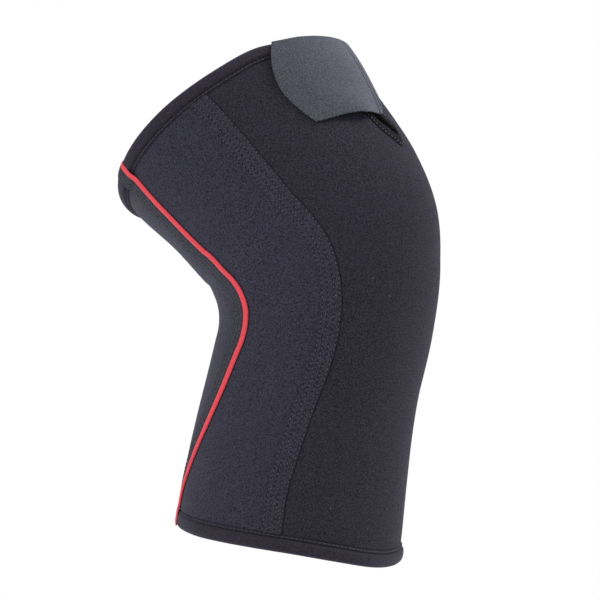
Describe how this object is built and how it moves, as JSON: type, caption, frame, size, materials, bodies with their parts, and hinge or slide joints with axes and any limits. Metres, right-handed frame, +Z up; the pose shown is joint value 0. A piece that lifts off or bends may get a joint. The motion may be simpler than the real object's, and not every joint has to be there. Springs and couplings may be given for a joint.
{
  "type": "knee sleeve",
  "caption": "Padded stretch knee sleeve shaped to a bent leg, with panel seams, piping, folded hems and a flap over a slit at the front of the thigh.",
  "frame": {"origin": "centre of the knee inside the sleeve, on the leg's centreline at the middle of the bend", "axes": "+X towards the kneecap, +Z up along the worn leg with the thigh leaning back and the calf below, -Y towards the side that carries the free end of the flap"},
  "size_m": [0.1961, 0.147, 0.3072],
  "materials": {
    "front_fabric": "matte",
    "side_fabric": "matte",
    "back_fabric": "matte",
    "hem_fabric": "matte",
    "seam_tape": "matte",
    "back_seam_thread": "matte",
    "red_piping": "satin",
    "slit_binding": "matte",
    "flap_fabric": "matte"
  },
  "bodies": {
    "root": {"front_panel": "front_fabric", "side_panel_right": "side_fabric", "side_panel_left": "side_fabric", "back_panel": "back_fabric", "thigh_hem": "hem_fabric", "calf_hem": "hem_fabric", "seam_band_right": "seam_tape", "seam_band_left": "seam_tape", "back_seam_right": "back_seam_thread", "back_seam_left": "back_seam_thread", "piping_right": "red_piping", "piping_left": "red_piping", "slit_binding": "slit_binding", "closure_flap": "flap_fabric"}
  },
  "joints": []
}
